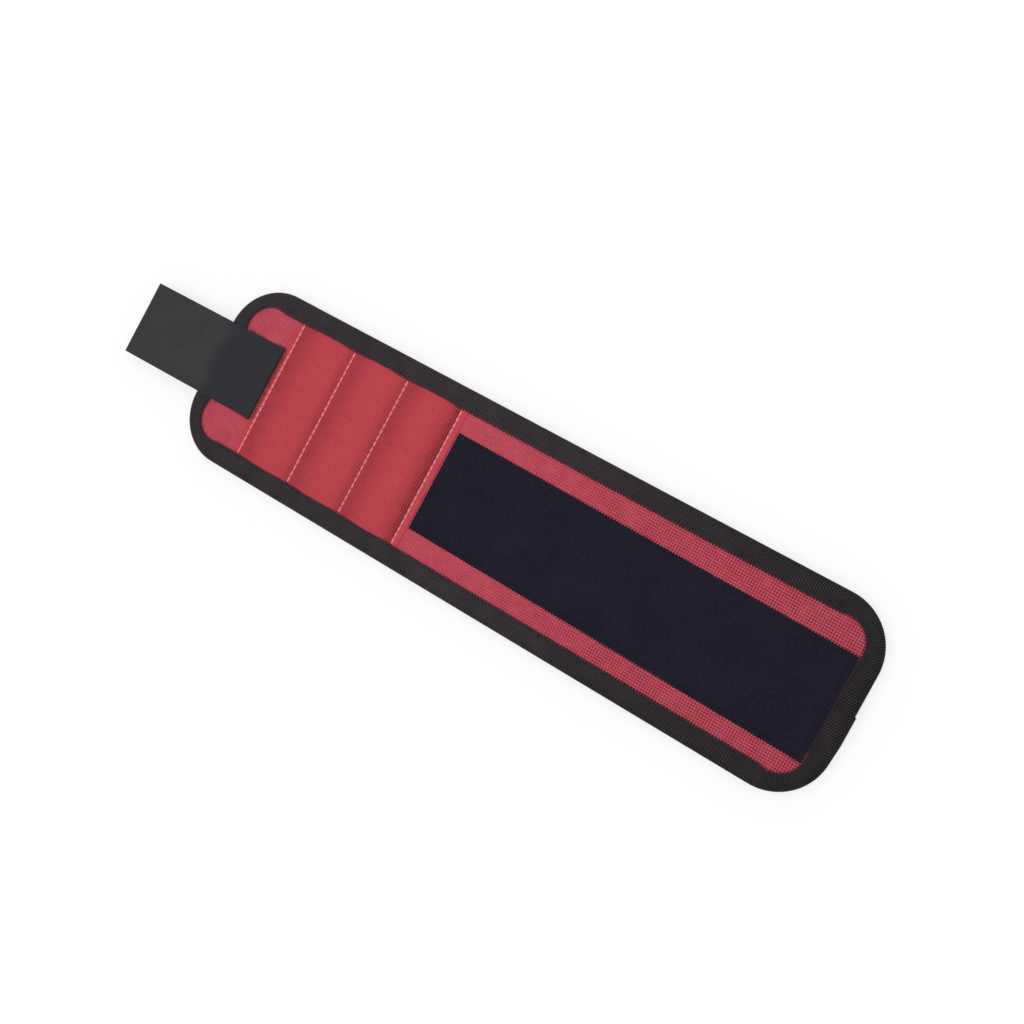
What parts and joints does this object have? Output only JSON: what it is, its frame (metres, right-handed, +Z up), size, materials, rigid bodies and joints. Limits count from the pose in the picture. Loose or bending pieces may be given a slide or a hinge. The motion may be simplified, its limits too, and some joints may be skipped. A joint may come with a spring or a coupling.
{
  "type": "magnetic wristband",
  "caption": "Flat padded fabric wristband with sewn magnet pockets, a bound edge, a loop-covered tail and a hook strap that closes it round the wrist.",
  "frame": {"origin": "on the surface the band lies on, under the middle of its whole length and width", "axes": "+X along the band from the strap to the tail, +Z up out of the face, +Y across the band"},
  "size_m": [0.397, 0.09, 0.0065],
  "materials": {
    "red_cloth": "coarse woven nylon",
    "black_tape": "ribbed woven tape",
    "strap_tape": "plain back of hook tape",
    "hook_field": "field of moulded hooks",
    "loop_pile": "brushed loop pile",
    "seam_thread": "twisted thread",
    "lining_cloth": "open knitted mesh",
    "foam": "fine foam",
    "magnet": "nickel plate"
  },
  "bodies": {
    "strap_end": {"face_strap_end": "red_cloth", "strap_anchor": "strap_tape", "binding_strap_end": "black_tape", "lining_strap_end": "lining_cloth", "padding_strap_end": "foam"},
    "strap": {"strap_flap": "strap_tape", "hook_pad": "hook_field"},
    "pocket_1": {"magnet_pocket_1": "red_cloth", "pocket_seam_1": "seam_thread", "binding_front_pocket_1": "black_tape", "binding_rear_pocket_1": "black_tape", "lining_pocket_1": "lining_cloth", "padding_pocket_1": "foam", "magnet_1_1": "magnet", "magnet_1_2": "magnet", "magnet_1_3": "magnet"},
    "pocket_2": {"magnet_pocket_2": "red_cloth", "pocket_seam_2": "seam_thread", "binding_front_pocket_2": "black_tape", "binding_rear_pocket_2": "black_tape", "lining_pocket_2": "lining_cloth", "padding_pocket_2": "foam", "magnet_2_1": "magnet", "magnet_2_2": "magnet", "magnet_2_3": "magnet"},
    "pocket_3": {"magnet_pocket_3": "red_cloth", "pocket_seam_3": "seam_thread", "pocket_seam_4": "seam_thread", "binding_front_pocket_3": "black_tape", "binding_rear_pocket_3": "black_tape", "lining_pocket_3": "lining_cloth", "padding_pocket_3": "foam", "magnet_3_1": "magnet", "magnet_3_2": "magnet", "magnet_3_3": "magnet"},
    "tail_1": {"face_tail_1": "red_cloth", "loop_patch_1": "loop_pile", "binding_front_tail_1": "black_tape", "binding_rear_tail_1": "black_tape", "lining_tail_1": "lining_cloth", "padding_tail_1": "foam"},
    "tail_2": {"face_tail_2": "red_cloth", "loop_patch_2": "loop_pile", "binding_front_tail_2": "black_tape", "binding_rear_tail_2": "black_tape", "lining_tail_2": "lining_cloth", "padding_tail_2": "foam"},
    "tail_3": {"face_tail_3": "red_cloth", "loop_patch_3": "loop_pile", "binding_front_tail_3": "black_tape", "binding_rear_tail_3": "black_tape", "lining_tail_3": "lining_cloth", "padding_tail_3": "foam"},
    "tail_4": {"face_tail_4": "red_cloth", "loop_patch_4": "loop_pile", "binding_tail_4": "black_tape", "lining_tail_4": "lining_cloth", "padding_tail_4": "foam"}
  },
  "joints": [
    {"name": "strap_fold", "type": "hinge", "parent": "strap_end", "child": "strap", "pos_m": [-0.1515, 0, 0.0056], "axis": [0, -1, 0], "range_deg": [-100, 47]},
    {"name": "wrap", "type": "hinge", "parent": "strap_end", "child": "pocket_1", "pos_m": [-0.114, 0, 0], "axis": [0, 1, 0], "range_deg": [0, 34]},
    {"name": "bend_2", "type": "hinge", "parent": "pocket_1", "child": "pocket_2", "pos_m": [-0.0825, 0, 0], "axis": [0, 1, 0], "range_deg": [0, 30.8]},
    {"name": "bend_3", "type": "hinge", "parent": "pocket_2", "child": "pocket_3", "pos_m": [-0.051, 0, 0], "axis": [0, 1, 0], "range_deg": [0, 31.1]},
    {"name": "bend_4", "type": "hinge", "parent": "pocket_3", "child": "tail_1", "pos_m": [-0.0195, 0, 0], "axis": [0, 1, 0], "range_deg": [0, 43.9]},
    {"name": "bend_5", "type": "hinge", "parent": "tail_1", "child": "tail_2", "pos_m": [0.035, 0, 0], "axis": [0, 1, 0], "range_deg": [0, 57.3]},
    {"name": "bend_6", "type": "hinge", "parent": "tail_2", "child": "tail_3", "pos_m": [0.0895, 0, 0], "axis": [0, 1, 0], "range_deg": [0, 57.7]},
    {"name": "bend_7", "type": "hinge", "parent": "tail_3", "child": "tail_4", "pos_m": [0.144, 0, 0], "axis": [0, 1, 0], "range_deg": [0, 57.1]}
  ],
  "couplings": [
    {"joint": "bend_2", "follows": "wrap", "ratio": 0.9058},
    {"joint": "bend_3", "follows": "wrap", "ratio": 0.9147},
    {"joint": "bend_4", "follows": "wrap", "ratio": 1.2911},
    {"joint": "bend_5", "follows": "wrap", "ratio": 1.6852},
    {"joint": "bend_6", "follows": "wrap", "ratio": 1.697},
    {"joint": "bend_7", "follows": "wrap", "ratio": 1.6794}
  ]
}
